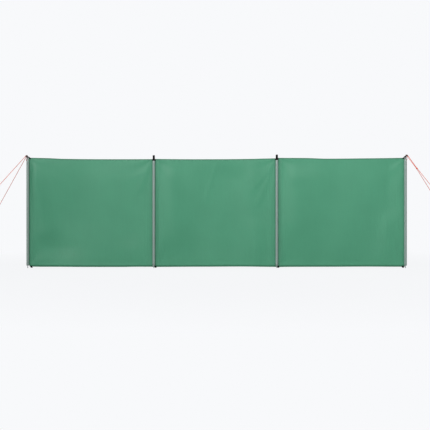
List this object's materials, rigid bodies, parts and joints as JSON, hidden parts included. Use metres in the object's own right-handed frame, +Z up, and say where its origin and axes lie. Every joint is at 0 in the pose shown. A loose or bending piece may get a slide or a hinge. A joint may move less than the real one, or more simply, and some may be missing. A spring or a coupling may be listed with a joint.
{
  "type": "beach windbreak",
  "caption": "Low cloth windbreak in green bays, stretched between slim upright poles and stayed at both ends by guy lines with runners and ground pegs.",
  "frame": {"origin": "centre of the left end pole's ground spike, where it is cut off flat at ground level", "axes": "+X along the cloth from the left end pole to the right one, +Y to the back of the cloth, +Z up"},
  "size_m": [7.0618, 1.9454, 1.471],
  "materials": {
    "green_cloth": "coated woven polyester, matt",
    "binding_tape": "woven binding tape",
    "black_webbing": "ribbed polyester webbing",
    "grey_tube": "light grey powder coat, satin",
    "bare_steel": "zinc plated",
    "black_steel": "black coated, satin",
    "black_plastic": "moulded, matt",
    "orange_cord": "braided cord",
    "runner_plastic": "moulded, matt"
  },
  "bodies": {
    "root": {"bottom_hem_1": "binding_tape", "bottom_hem_2": "binding_tape", "bottom_hem_3": "binding_tape", "cloth_panel_1": "green_cloth", "cloth_panel_2": "green_cloth", "cloth_panel_3": "green_cloth", "corner_strap_left": "black_webbing", "corner_strap_right": "black_webbing", "foot_spike_1": "bare_steel", "foot_spike_2": "bare_steel", "foot_spike_3": "bare_steel", "foot_spike_4": "bare_steel", "ground_peg_left_back": "bare_steel", "ground_peg_left_front": "bare_steel", "ground_peg_right_back": "bare_steel", "ground_peg_right_front": "bare_steel", "guy_line_left_back": "orange_cord", "guy_line_left_front": "orange_cord", "guy_line_right_back": "orange_cord", "guy_line_right_front": "orange_cord", "peg_loop_1": "black_webbing", "peg_loop_2": "black_webbing", "peg_loop_3": "black_webbing", "peg_loop_4": "black_webbing", "pole_band_2": "black_webbing", "pole_band_3": "black_webbing", "pole_top_1": "black_steel", "pole_top_2": "black_plastic", "pole_top_3": "black_plastic", "pole_top_4": "black_steel", "pole_tube_1": "grey_tube", "pole_tube_2": "grey_tube", "pole_tube_3": "grey_tube", "pole_tube_4": "grey_tube", "runner_left_back": "runner_plastic", "runner_left_front": "runner_plastic", "runner_right_back": "runner_plastic", "runner_right_front": "runner_plastic", "seam_tape_2": "binding_tape", "seam_tape_3": "binding_tape", "side_hem_left": "binding_tape", "side_hem_right": "binding_tape", "top_hem_1": "binding_tape", "top_hem_2": "binding_tape", "top_hem_3": "binding_tape"}
  },
  "joints": []
}
